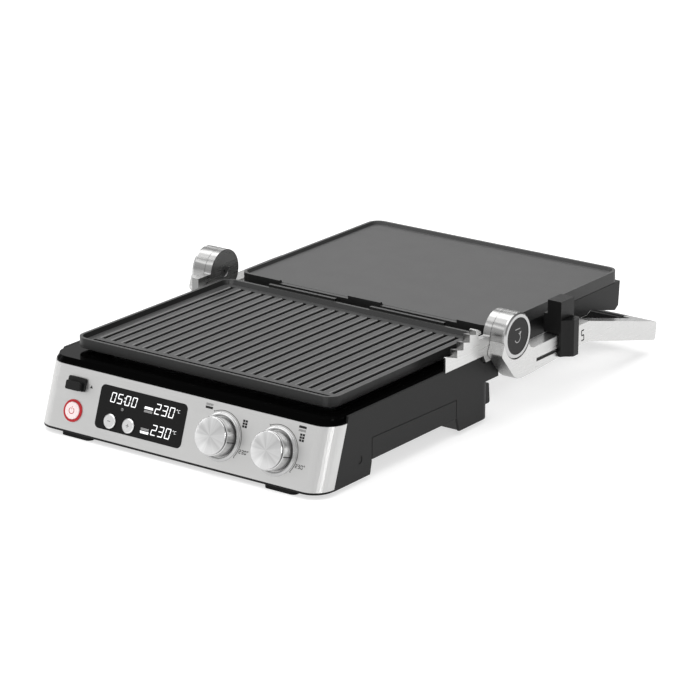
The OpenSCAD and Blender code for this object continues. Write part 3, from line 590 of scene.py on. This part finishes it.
def side_matrix(x):
    """From (y, z, outward) in mm to the part's frame, on a face that looks along +X at x."""
    m = Matrix(((0, 0, 1, 0), (1, 0, 0, 0), (0, 1, 0, 0), (0, 0, 0, 1)))
    return Matrix.Translation(at(x, 0, 0)) @ m @ Matrix.Scale(MM, 4)


# Curved arrow and bar on the hinge release
cap_face = ARM_OUT - 0.4
hy, hz = HINGE
bm = bmesh.new()
raised(bm, ring_band(4.2, 5.0, 200, 430, 40, hy, hz - 2), 0, 0.08)
raised(bm, [(hy + 3.0, hz + 3.2), (hy + 6.4, hz + 3.6), (hy + 4.6, hz + 0.4)], 0, 0.08)
raised(bm, rect(hy - 4.2, hz + 6.4, hy + 4.2, hz + 7.2), 0, 0.08)
mesh_piece("release_symbol", bm, "mark_dim", "release", side_matrix(cap_face))

# Mark on the right arm
bm = bmesh.new()
for outline in digit_outlines("5", 404.2, 50.2, 5.6, 11.5, 1.3, slant=0.0):
    raised(bm, outline, 0, 0.06)
mesh_piece("arm_mark", bm, "ink", "frame", side_matrix(ARM_OUT))

# ---- stage -------------------------------------------------------------------------------------

HALF_FLOOR = 30.0      # in metres
FLOOR_Z = -0.0003      # just below the feet
corners = [(x * HALF_FLOOR, y * HALF_FLOOR, 0) for x, y in ((-1, -1), (1, -1), (1, 1), (-1, 1))]
floor_mesh = bpy.data.meshes.new("floor")
floor_mesh.from_pydata(corners, [], [(0, 1, 2, 3)])
floor_mesh.materials.append(M["floor"])
floor = bpy.data.objects.new("floor", floor_mesh)
bpy.context.scene.collection.objects.link(floor)
floor.location.z = FLOOR_Z


def area_light(name, place, target, size_x, size_y, watts):
    """A rectangular light, in metres and watts, that looks at a target."""
    light = bpy.data.lights.new(name, "AREA")
    light.shape = "RECTANGLE"
    light.size, light.size_y = size_x, size_y
    light.energy = watts
    obj = bpy.data.objects.new(name, light)
    bpy.context.scene.collection.objects.link(obj)
    obj.location = place
    aim = Vector(target) - Vector(place)
    obj.rotation_euler = aim.to_track_quat("-Z", "Y").to_euler()


# White surroundings, brightest from the upper front left
world = bpy.data.worlds.new("studio")
bpy.context.scene.world = world
world.use_nodes = True
sky = world.node_tree
aim_nodes = sky.nodes.new("ShaderNodeTexCoord")
dot = sky.nodes.new("ShaderNodeVectorMath")
dot.operation = "DOT_PRODUCT"
dot.inputs[1].default_value = (-0.35, -0.75, 0.56)
shade = sky.nodes.new("ShaderNodeMapRange")
shade.inputs["From Min"].default_value = -0.7
shade.inputs["From Max"].default_value = 0.95
shade.inputs["To Min"].default_value = 0.16
shade.inputs["To Max"].default_value = 0.95
sky.links.new(aim_nodes.outputs["Generated"], dot.inputs[0])
sky.links.new(dot.outputs["Value"], shade.inputs["Value"])
sky.links.new(shade.outputs["Result"], sky.nodes["Background"].inputs["Strength"])
sky.nodes["Background"].inputs["Color"].default_value = (1, 1, 1, 1)
bpy.context.scene.view_settings.view_transform = "Standard"

area_light("top", (-0.3, 0.3, 3.2), (0, 0.2, 0), 4.5, 4.5, 110)
area_light("corner", (1.95, -1.2, 0.85), (0.1, -0.1, 0.05), 0.35, 1.1, 9)
area_light("back", (-2.2, 3.0, 1.5), (0, 0.15, 0.08), 1.6, 0.8, 5)
area_light("left", (-2.6, -1.0, 1.3), (0, 0, 0), 0.8, 1.8, 12)

# Camera place and target in the drawing frame, lens in mm and roll in degrees
EYE = (1841.3, -2265.5, 1082.2)
TARGET = (83.2, 164.0, 84.6)
LENS = 172.27
ROLL = 0.16
camera_data = bpy.data.cameras.new("camera")
camera_data.lens = LENS
camera_data.sensor_width = 36
camera_data.clip_end = 60
camera = bpy.data.objects.new("camera", camera_data)
bpy.context.scene.collection.objects.link(camera)
camera.location = at(*EYE)
camera.rotation_mode = "QUATERNION"
look = (at(*TARGET) - at(*EYE)).to_track_quat("-Z", "Y")
camera.rotation_quaternion = look @ Matrix.Rotation(math.radians(ROLL), 3, "Z").to_quaternion()
bpy.context.scene.camera = camera
